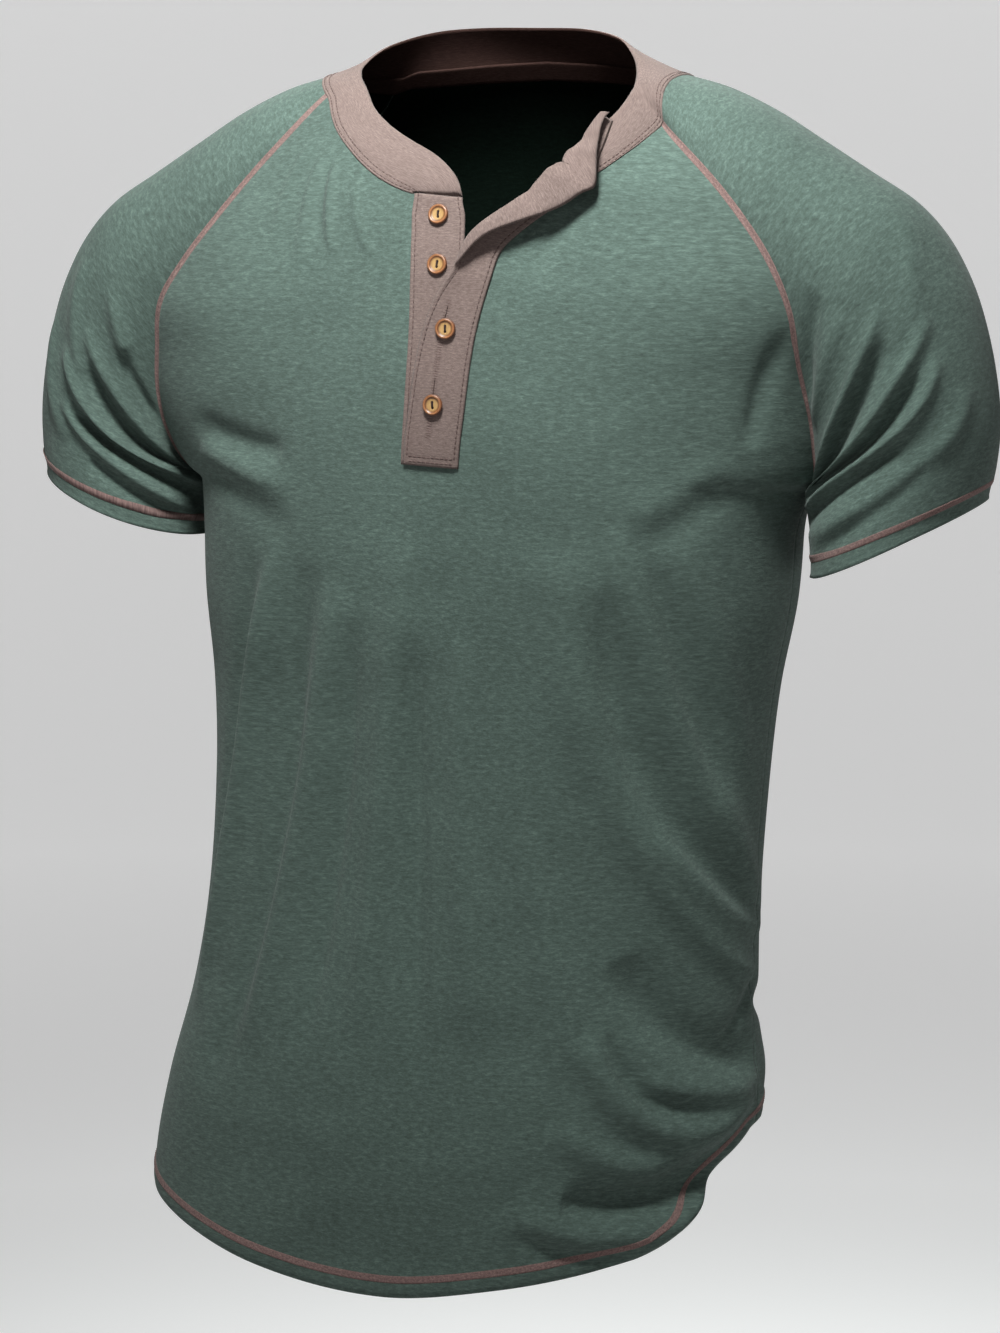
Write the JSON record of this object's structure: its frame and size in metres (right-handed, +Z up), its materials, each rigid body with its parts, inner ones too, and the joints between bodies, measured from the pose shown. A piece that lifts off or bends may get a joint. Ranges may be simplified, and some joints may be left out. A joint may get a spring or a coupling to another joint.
{
  "type": "henley shirt",
  "caption": "Short-sleeved raglan jersey shirt with a band collar and a half-open button placket, filled out as worn and open at the neck, cuffs and hem.",
  "frame": {"origin": "midway between the two high shoulder points, where the neck seam crosses the top of the shoulders and the wearer carries the shirt", "axes": "+X towards the wearer's left sleeve, -Y out of the front, +Z up"},
  "size_m": [0.594, 0.2402, 0.7361],
  "materials": {
    "jersey": "matt heathered single jersey, sage green",
    "band": "matt knit band, taupe",
    "button": "oiled wood, satin"
  },
  "bodies": {
    "root": {"front": "jersey", "back": "jersey", "sleeve_left": "jersey", "sleeve_right": "jersey", "collar": "band", "placket_under": "band", "placket_over": "band", "neck_tape": "band", "button_1": "button", "button_2": "button", "button_3": "button", "button_4": "button"}
  },
  "joints": []
}
